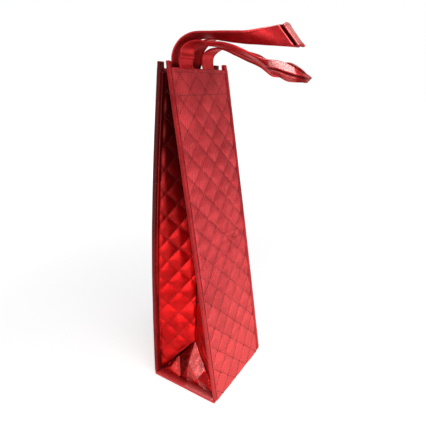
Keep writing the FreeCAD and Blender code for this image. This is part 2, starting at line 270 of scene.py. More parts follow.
class Finish:
    # the nodes of one material, or of the world
    def __init__(self, owner):
        self.owner = owner
        owner.use_nodes = True
        self.tree = owner.node_tree
        self.tree.nodes.clear()

    def add(self, kind, settings=None, inputs=None, output=0):
        node = self.tree.nodes.new(kind)
        for key, value in (settings or {}).items():
            setattr(node, key, value)
        for key, value in (inputs or {}).items():
            if isinstance(value, Wire):
                self.tree.links.new(value.socket, node.inputs[key])
            else:
                node.inputs[key].default_value = value
        return Wire(self, node.outputs[output]) if len(node.outputs) else None

    def sine(self, wire):
        return self.add("ShaderNodeMath", {"operation": "SINE"}, {0: wire})

    def step(self, wire, low, high):
        return self.add("ShaderNodeMapRange", {"interpolation_type": "SMOOTHSTEP"},
                        {0: wire, 1: low, 2: high})

    def blendColour(self, factor, first, second):
        return self.add("ShaderNodeMix", {"data_type": "RGBA"}, {0: factor, 6: first, 7: second}, 2)

    def noise(self, scale, detail=2.0, rough=0.5, where=None):
        inputs = {"Scale": scale, "Detail": detail, "Roughness": rough}
        inputs["Vector"] = where or self.place()
        return self.add("ShaderNodeTexNoise", None, inputs)

    def cells(self, scale, where=None, output=0, feature="F1"):
        return self.add("ShaderNodeTexVoronoi", {"feature": feature},
                        {"Scale": scale, "Vector": where or self.place()}, output)

    def place(self):
        return self.add("ShaderNodeTexCoord", None, None, 3)

    def along(self, axis, where=None):
        return self.add("ShaderNodeSeparateXYZ", None, {0: where or self.place()}, axis)

    def seenRays(self):
        # 1 where a surface is looked at, straight, in a reflection or through glass
        camera, glossy, clear = (self.add("ShaderNodeLightPath", None, None, kind)
                                 for kind in ("Is Camera Ray", "Is Glossy Ray", "Is Transmission Ray"))
        return camera + glossy + clear

    def surface(self, colour, roughness, metallic, bump, depth, constants=None):
        # depth is in millimetres; constants go straight to the shader's own sockets
        normal = self.add("ShaderNodeBump", None,
                          {"Height": bump, "Distance": depth * 0.001, "Strength": 1.0})
        inputs = {"Base Color": colour, "Roughness": roughness, "Metallic": metallic, "Normal": normal}
        inputs.update(constants or {})
        shader = self.add("ShaderNodeBsdfPrincipled", None, inputs)
        self.add("ShaderNodeOutputMaterial", None, {"Surface": shader})
        return self.owner


def linear(red, green, blue):
    # a colour as it is seen, 0 to 255, to the values that shaders use
    def channel(c):
        c /= 255
        return c / 12.92 if c <= 0.04045 else ((c + 0.055) / 1.055) ** 2.4
    return (channel(red), channel(green), channel(blue), 1.0)


# the colour of painted shade in folds, and of painted glints
foilLook = {"fold": linear(44, 3, 5), "paintedLight": linear(255, 205, 200), "reflection": 0.35,
            "tint": (1.0, 0.42, 0.40, 1.0), "depth": 0.5}


def foilCloth(name, deep, bright, metallic, rough, paintedSparkle, weave, ribPitch=0.0, ribDepth=0.0,
              crinkle=0.0, fade=None, paintedGlintsAndShade=False):
    # foil printed on cloth: ribs, weave and crinkles, with painted shade on the ribs and crinkles and
    # painted glints
    finish = Finish(bpy.data.materials.new(name))
    place = finish.place()
    cloudy = finish.noise(38, 3, 0.55, place)
    fine = finish.noise(900, 2, 0.6, place)
    grain = finish.noise(2600, 1, 0.5, place)
    bump = fine * weave + grain * (weave * 0.6)
    # a random tone; the ribs and the crinkle facets add painted shade to it below
    toneAndPaintedShade = finish.step(cloudy, 0.32, 0.68)
    if ribPitch:
        across = finish.along(0, place)
        wobble = finish.noise(55, 2, 0.5, place)
        ribs = finish.sine(across * (2000 * math.pi / ribPitch) + wobble * 3.0)
        bump = bump + ribs * ribDepth
        toneAndPaintedShade = toneAndPaintedShade * 0.7 + ribs * 0.16 + 0.14
    if crinkle:
        facets = finish.cells(170, place)
        small = finish.cells(420, place)
        bump = bump + facets * crinkle + small * (crinkle * 0.4)
        toneAndPaintedShade = toneAndPaintedShade * 0.6 + facets * 0.5
    colour = finish.blendColour(toneAndPaintedShade, deep, bright)
    if fade:
        # painted light and shade by height: between two heights the colour blends into another one, which
        # paints shade towards the top of some pieces and light towards the bottom of others; there it is
        # also less like metal
        height = finish.along(2, place)
        paintedShadingShare = finish.step(height, fade["from"] * 0.001, fade["to"] * 0.001) * fade["share"]
        colour = finish.blendColour(paintedShadingShare, colour, fade["colour"])
        if fade["dull"]:
            metallic = metallic - paintedShadingShare * fade["dull"]
    # painted glints in small flecks
    paintedLight = finish.step(fine, 0.66, 0.76) * paintedSparkle
    if paintedGlintsAndShade:
        # painted glints, and painted shade in the folds, as the mesh gives them
        paintedLit = finish.add("ShaderNodeAttribute", {"attribute_name": "paintedLight"}, None, 2)
        paintedLight = paintedLight + finish.step(paintedLit, 0, 1) * (finish.step(grain, 0.46, 0.58) * 0.55 + 0.08)
        colour = finish.blendColour(finish.step(paintedLit, 0, -1) * 0.85, colour, foilLook["fold"])
    colour = finish.blendColour(paintedLight, colour, foilLook["paintedLight"])
    roughness = rough + (cloudy - 0.5) * 0.16 - paintedLight * 0.25
    return finish.surface(colour, roughness, metallic, bump, foilLook["depth"],
                          {"Specular IOR Level": foilLook["reflection"], "Specular Tint": foilLook["tint"]})


def plainCloth(name, deep, bright, rough=0.8, pitch=0.8):
    # woven lining or thread
    finish = Finish(bpy.data.materials.new(name))
    place = finish.place()
    warp = finish.sine(finish.along(0, place) * (2000 * math.pi / pitch))
    weft = finish.sine(finish.along(2, place) * (2000 * math.pi / pitch))
    cross = warp * weft
    cloudy = finish.noise(60, 3, 0.6, place)
    colour = finish.blendColour(finish.step(cloudy + cross * 0.1, 0.3, 0.7), deep, bright)
    return finish.surface(colour, rough + (cloudy - 0.5) * 0.1, 0.0, cross * 0.25 + cloudy * 0.3, 0.3)


def cardFinish(name):
    finish = Finish(bpy.data.materials.new(name))
    place = finish.place()
    pulp = finish.noise(320, 4, 0.65, place)
    flecks = finish.step(finish.noise(1400, 2, 0.5, place), 0.62, 0.7)
    colour = finish.blendColour(pulp, linear(150, 142, 128), linear(192, 184, 168))
    colour = finish.blendColour(flecks * 0.4, colour, linear(96, 88, 78))
    return finish.surface(colour, 0.85 + (pulp - 0.5) * 0.1, 0.0, pulp, 0.25)


def paintedHeightShading(start, end, share, colour, dull=0.0):
    # painted light and shade by height: the heights where a foil starts and stops changing, how far it
    # changes, and to which colour
    return {"from": start, "to": end, "share": share, "colour": linear(*colour), "dull": dull}


finishes = {
    # the panel gets painted light towards the bottom
    "panel": foilCloth(
        "panelFoil", linear(156, 34, 40), linear(198, 60, 64), metallic=0.45, rough=0.44, ribPitch=2.3,
        ribDepth=0.32, paintedSparkle=0.3, weave=0.14, fade=paintedHeightShading(170, 0, 0.6, (236, 84, 82))),
    # the gusset gets painted shade towards the top, where it is also less like metal
    "gusset": foilCloth(
        "gussetFoil", linear(178, 12, 14), linear(210, 26, 26), metallic=0.8, rough=0.34,
        paintedSparkle=0.15, weave=0.08, fade=paintedHeightShading(70, 330, 0.92, (60, 2, 4), 0.4)),
    # the foot gets painted glints and shade on its facets from the mesh
    "foot": foilCloth(
        "crumpledFoil", linear(120, 6, 10), linear(222, 30, 30), metallic=0.85, rough=0.28,
        crinkle=1.2, paintedSparkle=0.8, weave=0.25, paintedGlintsAndShade=True),
    # the front and base tapes get painted light towards the bottom; the base tapes also get painted glints
    # and shade from the mesh
    "tape": foilCloth(
        "tapeFoil", linear(132, 16, 22), linear(176, 34, 38), metallic=0.45, rough=0.46, crinkle=0.3,
        paintedSparkle=0.55, weave=0.16, paintedGlintsAndShade=True, fade=paintedHeightShading(200, 20, 0.5, (226, 74, 74))),
    # the back tapes: a darker copy of the tape foil, with painted shade towards the top
    "paintedShadeTape": foilCloth(
        "paintedShadeTapeFoil", linear(120, 12, 16), linear(160, 24, 26), metallic=0.3, rough=0.5, crinkle=0.3,
        paintedSparkle=0.35, weave=0.16, fade=paintedHeightShading(40, 240, 0.85, (66, 5, 7), 0.2)),
    # the straps get painted glints and fold shade from the mesh
    "strap": foilCloth(
        "strapFoil", linear(160, 20, 26), linear(204, 42, 46), metallic=0.6, rough=0.34, crinkle=0.08,
        paintedSparkle=0.35, weave=0.12, paintedGlintsAndShade=True),
    "lining": plainCloth("liningCloth", linear(104, 16, 22), linear(138, 26, 32)),
    "thread": plainCloth("threadRed", linear(84, 4, 10), linear(120, 12, 18), 0.6, 0.3),
    "card": cardFinish("greyCard"),
}
print("finishes made")

# the quilting, as cloth pulled down along its stitch lines
quilt = {
    "across": 25.5, "up": 27.1,  # width and height of a diamond
    "cuts": 18,  # lattice steps in a diamond, each way
    "x0": 3.0, "p0": 48.0,  # where two stitch lines cross: from the middle, and down from the hem
    "puff": 1.9,  # height of the pillows
    "margin": 0.4,  # from the sheet's edge to the outside of the binding
    "pressure": 3.0, "growth": 0.05, "frames": 14,  # how the cloth is blown up
    "scale": 0.1,  # metres that stand for a millimetre meanwhile
    "drift": 0.45,  # furthest that a point may move sideways
}
stepX, stepP = quilt["across"] / quilt["cuts"], quilt["up"] / quilt["cuts"]
sheetEdge = halfWidth - quilt["margin"]
columns = [i for i in range(-200, 200) if abs(quilt["x0"] + i * stepX) <= sheetEdge]
pLow = -(strip["facing"] + math.pi * strip["hemRadius"])
pHigh = stripEnd()
rows = [j for j in range(-200, 400) if pLow <= quilt["p0"] + j * stepP <= pHigh]


def latticePlace(i, j):
    # from the middle of the strip, and down from the hem
    return quilt["x0"] + i * stepX, quilt["p0"] + j * stepP


def isStitched(i, j):
    return (i + j) % quilt["cuts"] == 0 or (i - j) % quilt["cuts"] == 0


def quadSplit(i, j, corners):
    # cut a square so that the stitch line is an edge
    a, b, c, d = corners
    if (i + j + 1) % quilt["cuts"] == 0:
        return [(a, b, d), (b, c, d)]
    if (i - j) % quilt["cuts"] == 0:
        return [(a, b, c), (a, c, d)]
    return [(a, b, c, d)]


def pillowGuess(i, j):
    a = (i + j) / quilt["cuts"]
    b = (i - j) / quilt["cuts"]
    return (abs(math.sin(math.pi * a)) * abs(math.sin(math.pi * b))) ** 0.55


def simulateQuilt():
    # a whole number of diamonds each way, so that the result repeats
    wide = tall = 4 * quilt["cuts"]
    points, pinned = [], []
    for j in range(tall + 1):
        for i in range(wide + 1):
            if i in (0, wide) or j in (0, tall) or (isStitched(i, j) and i % 2 == 0):
                pinned.append(len(points))
            lift = 0.25 * pillowGuess(i, j) * quilt["puff"]
            points.append((i * stepX, j * stepP, lift * (1 + 0.5 * ripple(i * 0.31, j * 0.31, 4.2))))
    faces = gridFaces(tall + 1, wide + 1, lambda j, i, corners: quadSplit(i, j, corners))
    factor = quilt["scale"] * 1000
    piece = makePiece("quiltSample", [[c * factor for c in point] for point in points], faces)
    piece.vertex_groups.new(name="pins").add(pinned, 1.0, "REPLACE")
    cloth = piece.modifiers.new("cloth", "CLOTH")
    for key, value in {
            "quality": 6, "mass": 0.2, "tension_stiffness": 8, "compression_stiffness": 3,
            "shear_stiffness": 4, "bending_stiffness": 0.15, "vertex_group_mass": "pins",
            "shrink_min": -quilt["growth"], "use_pressure": True,
            "uniform_pressure_force": quilt["pressure"]}.items():
        setattr(cloth.settings, key, value)
    cloth.settings.effector_weights.gravity = 0
    cloth.collision_settings.use_collision = False
    cloth.point_cache.frame_end = quilt["frames"] + 1
    for number in range(1, quilt["frames"] + 1):
        scene.frame_set(number)
    graph = bpy.context.evaluated_depsgraph_get()
    result = bpy.data.meshes.new_from_object(piece.evaluated_get(graph))
    moved = np.array([v.co for v in result.vertices]) / quilt["scale"]
    rest = np.array(points)
    rest[:, 2] = 0
    shift = (moved - rest).reshape(tall + 1, wide + 1, 3)
    scene.frame_set(1)
    bpy.data.objects.remove(piece)
    bpy.data.meshes.remove(result)
    height = shift[:, :, 2]
    print("quilting: sideways up to %.2f, height %.2f to %.2f before scaling" %
          (np.abs(shift[:, :, :2]).max(), height.min(), height.max()))
    shift[:, :, 2] *= quilt["puff"] / max(np.percentile(height, 98), 0.01)
    shift[:, :, :2] = np.clip(shift[:, :, :2], -quilt["drift"], quilt["drift"])
    return shift


quiltShift = simulateQuilt()


def mirrored(k):
    # place of a lattice line in the sample, which repeats as in a mirror
    cuts = quilt["cuts"]
    t = k % (4 * cuts)
    return (cuts + t, 1) if t <= 2 * cuts else (5 * cuts - t, -1)


def quiltAt(i, j):
    # sideways, downwards and outwards shift of the quilting at a lattice point
    if quiltShift is None:
        return 0, 0, pillowGuess(i, j) * quilt["puff"]
    column, flipX = mirrored(i)
    row, flipP = mirrored(j)
    dx, dp, lift = quiltShift[row, column]
    return float(dx) * flipX, float(dp) * flipP, float(lift)


# front and back strips
panelLook = {
    "thick": 1.15, "wave": 0.7,
    "sink": 0.45, "edgeSink": 0.25,  # how deep the stitch lines lie, and the flat edges still more
    "pillowEdge": {-1: (44.5, 41.5), 1: (39.5, 39.5)},  # where the pillows end, left and right
    "hemBand": (20, 44), "hemShare": 0.3,  # the pillows grow over this band below the hem
    "foldBand": (22, 5), "foldShare": 0.25,  # and shrink over this band above the fold
    "underShare": 0.4, "underSink": 1.35,  # below the base
}
frontCreases = [
    # x and distance below the hem along each crease, its depth and half width
    ([(-40, 309), (-26, 311), (-14, 314), (-8, 310), (4, 309), (16, 306)], 1.1, 2.6),
    ([(18, 304), (27, 296), (36, 293), (49, 293)], 1.0, 2.2),
    ([(-38, 318), (-20, 322), (-10, 318)], -0.7, 3.0),
    ([(2, 184), (18, 186), (34, 188), (46, 189)], -1.0, 2.4),
    ([(0, 191), (18, 192), (40, 194)], 0.7, 2.8),
    ([(-30, 214), (-10, 203), (6, 196)], 0.5, 3.0),
]


def creaseAt(creases, x, p):
    total = 0
    for line, depth, width in creases:
        nearest = 1e9
        for (x0, p0), (x1, p1) in zip(line, line[1:]):
            dx, dp = x1 - x0, p1 - p0
            t = min(max(((x - x0) * dx + (p - p0) * dp) / (dx * dx + dp * dp), 0), 1)
            nearest = min(nearest, math.hypot(x - x0 - t * dx, p - p0 - t * dp))
        total -= depth * math.exp(-(nearest / width) ** 2)
    return total


def stripSpot(sign, i, j, extra=0.0):
    # a lattice point of a strip, raised by its pillow and by extra
    look = panelLook
    x, p = latticePlace(i, j)
    dx, dp, lift = quiltAt(i, j)
    flat = look["pillowEdge"][sign][x > 0]
    edge = 1 - smooth(flat, flat + 3, abs(x))
    under = smooth(wallLength - 1, wallLength + 5, p)
    share = edge * smooth(-1, 3, p)
    share *= look["hemShare"] + (1 - look["hemShare"]) * smooth(*look["hemBand"], p)
    share *= 1 - (1 - look["foldShare"]) * smooth(*(wallLength - c for c in look["foldBand"]), p)
    share *= 1 - (1 - look["underShare"]) * under
    height = lift * share - look["sink"] * smooth(1, 5, p) - look["edgeSink"] * (1 - edge)
    height -= under * look["underShare"] * quilt["puff"] * look["underSink"]
    swell = ripple(x * 0.022, p * 0.013, 3.1 * sign)
    height += swell * look["wave"] * smooth(0, 30, p) * (1 - under) * edge
    if sign < 0 and p < wallLength:
        height += creaseAt(frontCreases, x, p) * (1 - smooth(48, 50, abs(x)))
    if under > 0.5:
        height = min(height, -0.1)
    height += extra
    o, z, no, nz = stripPath(p + dp * share)
    return (x + dx * share, sign * (o + height * no), z + height * nz)


def stripPanel(name, sign):
    # the lattice, with a flat border that ends exactly at the sheet's edges
    ends = [(pLow - quilt["p0"]) / stepP, *rows, (pHigh - quilt["p0"]) / stepP]
    wide = [(-sheetEdge - quilt["x0"]) / stepX, *columns, (sheetEdge - quilt["x0"]) / stepX]
    drop = -panelLook["sink"] - panelLook["edgeSink"]
    points = []
    for j in ends:
        for i in wide:
            if isinstance(i, int) and isinstance(j, int):
                points.append(stripSpot(sign, i, j))
                continue
            x, p = latticePlace(i, j)
            o, z, no, nz = stripPath(p)
            below = z + drop * nz
            if isinstance(i, int):
                x = stripSpot(sign, i, round(j))[0]
                below = z + max(drop * nz, 0.1 * (nz < -0.9))
            points.append((x, sign * (o + drop * no), below))

    def split(row, column, corners):
        i, j = wide[column], ends[row]
        return quadSplit(i, j, corners) if isinstance(i, int) and isinstance(j, int) else [corners]

    faces = outwards(points, gridFaces(len(ends), len(wide), split), (0, sign * 12, 150))
    piece = makePiece(name, points, faces, finishes["panel"])
    thicken(piece, panelLook["thick"])
    return piece


liningLook = {"thick": 0.4, "lift": 0.35, "ripple": 0.12, "gap": 0.2, "cuts": 16, "step": 6.0}


def stripLining(name, sign):
    # down the inside of the wall, then over the bottom to the middle
    depth = wallThick - liningLook["lift"]
    edge = seamX - liningLook["gap"]
    across = [-edge + k * 2 * edge / liningLook["cuts"] for k in range(liningLook["cuts"] + 1)]
    places = [strip["hemRadius"] + 3 + k * liningLook["step"] for k in range(200)]
    points = []
    for p in [p for p in places if p < wallLength - 6] + [wallLength - 5, wallLength - 3]:
        o, z, no, nz = stripPath(p)
        for x in across:
            inwards = depth + liningLook["ripple"] * ripple(x * 0.05, p * 0.03, sign)
            points.append((x, sign * (o - inwards * no), z - inwards * nz))
    for k in range(10, -1, -1):
        points += [(x, sign * 4.05 * k, depth) for x in across]
    faces = gridFaces(len(points) // len(across), len(across))
    faces = outwards(points, faces, (0, sign * 12, 150))
    piece = makePiece(name, points, faces, finishes["lining"])
    thicken(piece, liningLook["thick"], 0.0)
    return piece


panels, linings = {}, {}
for wall, sign in walls.items():
    panels[wall] = stripPanel(wall + "_panel", sign)
    linings[wall] = stripLining(wall + "_inner", sign)
print("strips made: %d faces each" % len(panels["front"].data.polygons))

# gussets
gusset = {
    "start": 45.0, "limit": 35.0,  # top corner of the foot, and how deep the crease goes at most
    "share": 0.75, "sink": 0.3, "wave": 0.8,  # the pillows, next to the strips'
    "shift": 4,  # lattice steps from the quilting's own start to the crease
    "seam": (1.2, 3.6),  # how far the cloth goes on into the seam
    "outer": {"step": 1, "thick": 1.1, "seamDepth": 0.2},
    "inner": {"step": 3, "thick": 0.45, "seamDepth": 1.4, "depth": 1.75},
    "crease": {"outer": 2.3, "inner": 1.0, "step": 12, "lead": 6},
}


def halfOpening(z):
    return halfDepth - wallThick / leanCos - 0.3 - (z - foldZ) * leanTan


def foldDepth(z):
    full = math.sqrt(max(halfOpening(wallThick) ** 2 - halfOpening(z) ** 2, 0))
    return min(full, gusset["limit"])


def gussetFrame(z):
    # seam place, direction from nose to seam, outward normal and width, for a rear half with +x outwards
    level = max(z, gusset["start"])
    a, c = halfOpening(level), foldDepth(level)
    a -= wallThick * c / math.hypot(a, c)
    width = math.hypot(a, c)
    reach = a
    if z < gusset["start"]:
        low = halfOpening(wallThick)
        reach = low + (a - low) * (z - wallThick) / (gusset["start"] - wallThick)
    along, normal = Vector((c, a, 0)) / width, Vector((a, -c, 0)) / width
    return Vector((seamX, reach, 0)), along, normal, width


def gussetStart(z, width):
    # the cloth starts at a slant beside the foot
    rise = gusset["start"] - wallThick
    return width * (1 - (z - wallThick) / rise) if z < gusset["start"] else 0.0


def gussetHeight(side, half, column, j, u, z, inside):
    lift = quiltAt(column, j)[2] * gusset["share"]
    wave = gusset["wave"] * ripple(u * 0.05, z * 0.02, 7 * side + half)
    return (lift + wave) * inside - gusset["sink"]


def gussetPoint(side, half, u, z, height):
    seam, along, normal, width = gussetFrame(z)
    if u > width:
        spot = seam + Vector((u - width, 0, 0)) + Vector((0, -0.5, 0)) * height
    else:
        spot = seam - along * (width - u) + normal * height
    return (side * spot.x, half * spot.y, z)


def gussetHalf(name, side, half, layer="outer"):
    look = gusset[layer]
    low, top = wallThick + 0.3, gussetTop - 0.2
    levels = list(range(math.floor(low / stepP), math.ceil(top / stepP) + 1, look["step"]))
    places = list(range(0, 33, look["step"]))
    points = []
    for j in levels:
        z = min(max(j * stepP, low), top)
        width = gussetFrame(z)[3]
        begin = gussetStart(z, width)
        for i in places:
            u = min(max(i * stepX, begin), width)
            height = -gusset["inner"]["depth"]
            if layer == "outer":
                inside = smooth(0, 3, u - begin) * smooth(0, 3, width - u) * smooth(0, 3, top - z)
                height = gussetHeight(side, half, i + gusset["shift"], j, u, z, inside)
            points.append(gussetPoint(side, half, u, z, height))
        for beyond in gusset["seam"]:
            points.append(gussetPoint(side, half, width + beyond, z, -look["seamDepth"]))

    def split(row, column, corners):
        if layer == "outer" and column < len(places) - 1:
            return quadSplit(places[column] + gusset["shift"], levels[row], corners)
        return [corners]

    faces = gridFaces(len(levels), len(places) + len(gusset["seam"]), split)
    faces = outwards(points, faces, (0, half * 60, 180))
    piece = makePiece(name, points, faces, finishes["gusset" if layer == "outer" else "lining"])
    weld(piece, clean=True)
    thicken(piece, look["thick"])
    return piece


def gussetSpine(name, side):
    # the rounded inner edge of the crease
    look = gusset["crease"]
    levels = [gusset["start"] - look["lead"] + k * look["step"] for k in range(40)]
    rings = []
    for z in [z for z in levels if z < gussetTop - 4] + [gussetTop - 0.5]:
        seam, along, normal, width = gussetFrame(max(z, gusset["start"]))
        nose = seam - along * width
        first = math.atan2(-normal.y, -normal.x)
        ring = []
        for radius, order in ((look["outer"], range(9)), (look["inner"], range(8, -1, -1))):
            for k in order:
                a = first + 2 * (math.pi - first) * k / 8
                ring.append((side * (nose.x + 0.2 + radius * math.cos(a)), radius * math.sin(a), z))
        rings.append(ring)
    return tube(name, rings, finishes["lining"])


footLook = {
    # the foot's creases, on its own flat: y along the base, share of the way up to the crease's start,
    # and how far the corner stands out
    "corners": [(-1, 0, 0), (1, 0, 0), (0, 1, 0), (0.02, 0, 1.0), (-0.02, 0.5, 6.5), (0.25, 0, -0.6),
                (0.45, 0.52, -1.2), (-0.5, 0.48, 0.6), (-0.45, 0, 0.8), (0.6, 0.18, 2.2), (-0.34, 0.2, 3.4),
                (0.62, 0, 0.4)],
    "faces": [(0, 8, 10), (0, 10, 7), (8, 3, 10), (10, 3, 4), (10, 4, 7), (7, 4, 2), (3, 5, 4), (5, 6, 4),
              (4, 6, 2), (5, 11, 9), (5, 9, 6), (11, 1, 9), (9, 1, 6)],
    # the painted light of each facet: a painted glint above zero, painted shade below zero
    "paintedTones": [0.4, -0.35, 0.1, 0.3, 0.5, 0.45, -0.25, -0.8, -0.6, 0.05, 0.25, 0.1, -0.5],
    "cuts": 9, "crumple": 1.0, "thick": 0.7,
}


def gussetFoot(name, side):
    low = halfOpening(wallThick) - 0.2
    depth = foldDepth(gusset["start"])
    rise = gusset["start"] - wallThick
    normal = Vector((rise, 0, depth)).normalized()
    corners = [Vector((seamX - depth * up, along * low, wallThick + 0.1 + rise * up)) + normal * out
               for along, up, out in footLook["corners"]]
    points, faces, paintedTones = [], [], []
    n = footLook["cuts"]
    for (a, b, c), paintedTone in zip(footLook["faces"], footLook["paintedTones"]):
        paintedTones += [paintedTone] * n * n
        index = {}
        for r in range(n + 1):
            for s in range(n + 1 - r):
                index[r, s] = len(points)
                points.append(corners[a] + (corners[b] - corners[a]) * (s / n)
                              + (corners[c] - corners[a]) * (r / n))
        for r in range(n):
            for s in range(n - r):
                faces.append((index[r, s], index[r, s + 1], index[r + 1, s]))
                if s < n - r - 1:
                    faces.append((index[r, s + 1], index[r + 1, s + 1], index[r + 1, s]))
    for k, spot in enumerate(points):
        inner = min((low - abs(spot.y)) / 8, 1) if spot.z < wallThick + 3 else 1
        crumple = ripple(*(spot * 0.16 + Vector((side * 3, 0, 0))))
        crumple += 0.5 * ripple(*(spot * 0.4 + Vector((0, 0, side * 5))))
        spot = spot + normal * crumple * footLook["crumple"] * max(inner, 0)
        points[k] = (side * spot.x, spot.y, spot.z)
    faces = outwards(points, faces, (0, 0, 60))
    piece = makePiece(name, points, faces, finishes["foot"])
    paintGlintAndShade(piece, paintedTones, "FACE")
    weld(piece)
    thicken(piece, footLook["thick"])
    return piece


gussetPieces = {}
for name, side in sides.items():
    for wall, half in walls.items():
        label = "%s_gusset_%s_" % (name, wall)
        gussetPieces[name, wall] = gussetHalf(label + "half", side, half)
        gussetPieces[name, wall, "inner"] = gussetHalf(label + "inner", side, half, "inner")
    gussetPieces[name, "spine"] = gussetSpine(name + "_gusset_crease", side)
    gussetPieces[name, "foot"] = gussetFoot(name + "_gusset_foot", side)
print("gussets made")

# tape bindings
tapeLook = {
    # how far the tape's outer side reaches inwards, and its inner side
    "reach": {"front": {"left": 3.6, "right": 6.0}, "back": {"left": 8.0, "right": 8.0},
              "base": {"left": 8.0, "right": 8.0}},
    "inside": 6.9,
    "ear": 6.0, "ripple": 0.12,  # how far it stands above the hem, and how uneven it is
    "baseCuts": 46, "baseRipple": 0.1, "frontRipple": 0.35, "frontLift": 0.25,
}


def tapeRing(side, reach, squeeze=0.0, swell=0.0):
    # x out from the middle and d through the seam; squeeze 1 presses the fold flat
    w, t = halfWidth, tapeDepth
    face, inside = w - reach, w - tapeLook["inside"]
    mid = t / 2
    outer = [(face, 0.1), (face + 1.0, -0.18), (w - 3, -0.25), (w - 0.9, -0.15), (w - 0.15, 0.6),
             (w, mid), (w - 0.15, t - 0.5), (w - 0.9, t + 0.15), (w - 3, t + 0.2), (inside, t)]
    core = [(inside, t - 0.5), (w - 3, t - 0.6), (w - 1.3, t - 0.9), (w - 0.7, mid), (w - 1.3, 0.7),
            (w - 3, 0.3), (face + 1, 0.35), (face, 0.3)]
    ring = [(side * x, mid + (d - mid) * (1 - 0.25 * squeeze) + swell) for x, d in outer]
    return ring + [(side * x, d + (mid - d) * 0.85 * squeeze + swell) for x, d in core]


def wallTape(name, wall, sideName):
    # from the fold to the ear above the hem, pressed together at both ends
    sign, side = walls[wall], sides[sideName]
    last = wallLength + tapeLook["ear"]
    middle = tapeDepth / 2
    inner = side * (halfWidth - 3)
    stops = [0.7, 1.2, 2.0, 3.4] + [v for v in range(6, 400, 6) if v < wallLength - 3]
    rings = []
    for v in stops + [wallLength - 1, wallLength + 1, wallLength + 3, last - 0.8, last]:
        squeeze = smooth(wallLength - 1, wallLength + 2, v)
        swell = tapeLook["ripple"] * ripple(v * 0.06, side * 2.0, sign * 3.0)
        ring = tapeRing(side, tapeLook["reach"][wall][sideName], squeeze, swell)
        close = 1 - 0.55 * max(0, 1 - (v - 0.7) / 2.6) ** 2 if v < 3.4 else 1
        close *= 1 - 0.3 * smooth(last - 0.9, last, v)
        wobble = 0.15 * ripple(v * 0.035, side * 5.0, sign)
        rings.append([tuple(wallPoint(sign, inner + (x - inner) * (0.5 + 0.5 * close) + wobble,
                                      middle + (d - middle) * close, v)) for x, d in ring])
    # the back tapes take the darker copy, with painted shade
    return tube(name, rings, finishes["tape" if wall == "front" else "paintedShadeTape"])


def baseTape(name, sideName):
    side = sides[sideName]
    run = boxOf("base_%s_binding" % sideName)[1][1]
    ring = tapeRing(side, tapeLook["reach"]["base"][sideName])
    count = tapeLook["baseCuts"]
    rings = []
    for k in range(count + 1):
        y = -run + 2 * run * k / count
        front = 1 - smooth(-1.5, 1.5, y)
        lift = front * tapeLook["frontLift"] + tapeLook["baseRipple"] * ripple(y * 0.1, side, 9)
        lift += front * tapeLook["frontRipple"] * ripple(y * 0.35, side, 2)
        out = side * (-0.3 + 0.35 * front)
        rings.append([(x + out, y, max(d + (lift if d > 1.5 else 0), 0.05)) for x, d in ring])
    piece = tube(name, rings, finishes["tape"])
    # painted glints on the front half, and painted shade on the back half
    along = [vertex.co.y * 1000 for vertex in piece.data.vertices]
    paintGlintAndShade(piece, [0.45 * smooth(2, -4, y) - 0.25 * smooth(-2, 4, y) for y in along])
    return piece


tapes = {}
for wall in walls:
    for name in sides:
        tapes[wall, name] = wallTape("%s_%s_tape" % (wall, name), wall, name)
for name in sides:
    tapes["base", name] = baseTape("base_%s_tape" % name, name)
print("tapes made")

# handles
strapLook = {
    "width": 20.0, "thick": 1.3, "hem": 0.35, "hemWidth": 3.0,
    "tuck": 2.2, "flutter": 0.5,
    "bendRoll": 12,  # degrees that the strap turns over the hem
    "backShift": 8.5,  # how far inwards the back handle's right half goes
    "frontSag": 5.0,  # how much lower the front handle's right half hangs
    # stations across the strap, from its inner edge to its outer edge
    "spread": [-1, -0.97, -0.9, -0.8, -0.68, -0.5, -0.4, -0.3, -0.22, -0.16, -0.1, -0.04, 0.03, 0.12,
               0.3, 0.5, 0.68, 0.8, 0.9, 0.97, 1],
}
# stretches of a handle, ahead of its hinge line, over which something comes or goes
strapRuns = {
    "roll": (6, -30), "flutter": (-12, -36),
    "backShift": (-97, -27), "sag": (-12, -38), "sagEnd": (-102, -72),
    # the runs of painted glints, and of painted shade in the tuck and at the tips
    "tuck": (-76, -86), "tuckShade": (-76, -84), "paintedLit": (-72, -84), "paintedEdgeLit": (-80, -88),
    "frontTip": (-109, -111.5), "backTip": (-105.6, -106.8), "backTipEnd": (-110.4, -109.4),
}
leftLeg, rightLeg = (boxOf("front_handle_%s_leg" % side) for side in ("left", "right"))
handleShift = (leftLeg[0][0] + rightLeg[1][0]) / 2
legSpread = (rightLeg[0][0] + rightLeg[1][0]) / 2 - handleShift
